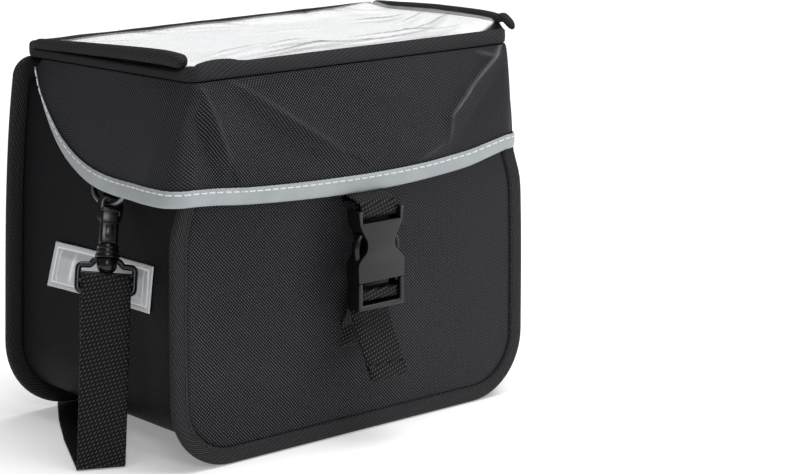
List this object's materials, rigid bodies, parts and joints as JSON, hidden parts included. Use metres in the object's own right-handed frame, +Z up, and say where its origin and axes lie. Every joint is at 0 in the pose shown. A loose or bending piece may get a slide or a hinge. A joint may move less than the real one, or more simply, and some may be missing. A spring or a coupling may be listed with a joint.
{
  "type": "bicycle handlebar bag",
  "caption": "Black cloth bicycle handlebar bag with a buckled flap, grey reflective trim, a clear map window and a shoulder strap.",
  "frame": {"origin": "on the floor under the middle of the bounding box", "axes": "+X across the handlebar towards the bag's right seen from the front, -Y the bag's front, +Z up"},
  "size_m": [0.3276, 0.2233, 0.2335],
  "materials": {
    "black_polyester": "coated 600 denier weave",
    "twill_tape": "ribbed twill tape",
    "webbing": "woven webbing",
    "moulded_plastic": "satin moulded",
    "reflective_tape": "grey reflective tape",
    "reflective_vinyl": "welded reflective vinyl",
    "clear_vinyl": "clear film, creased",
    "white_sheet": "matt foam sheet",
    "steel_wire": "nickel plated"
  },
  "bodies": {
    "root": {"back_panel": "black_polyester", "back_binding": "twill_tape", "front_panel": "black_polyester", "front_binding": "twill_tape", "gusset": "black_polyester", "lid_panel": "black_polyester", "lid_rim_binding": "twill_tape", "map_sheet": "white_sheet", "map_film": "clear_vinyl", "lid_skirt": "black_polyester", "hem_trim": "reflective_tape", "buckle_socket": "moulded_plastic", "buckle_plug": "moulded_plastic", "flap_strap": "webbing", "panel_strap": "webbing", "film_binding_left": "twill_tape", "film_binding_right": "twill_tape", "side_reflector_left": "reflective_vinyl", "side_reflector_right": "reflective_vinyl", "d_ring_left": "steel_wire", "d_ring_right": "steel_wire", "ring_tab_left": "webbing", "ring_tab_right": "webbing", "snap_hook_left": "moulded_plastic", "snap_hook_right": "moulded_plastic", "strap_frame_left": "moulded_plastic", "strap_frame_right": "moulded_plastic", "shoulder_strap": "webbing", "adapter_plate": "moulded_plastic"}
  },
  "joints": []
}
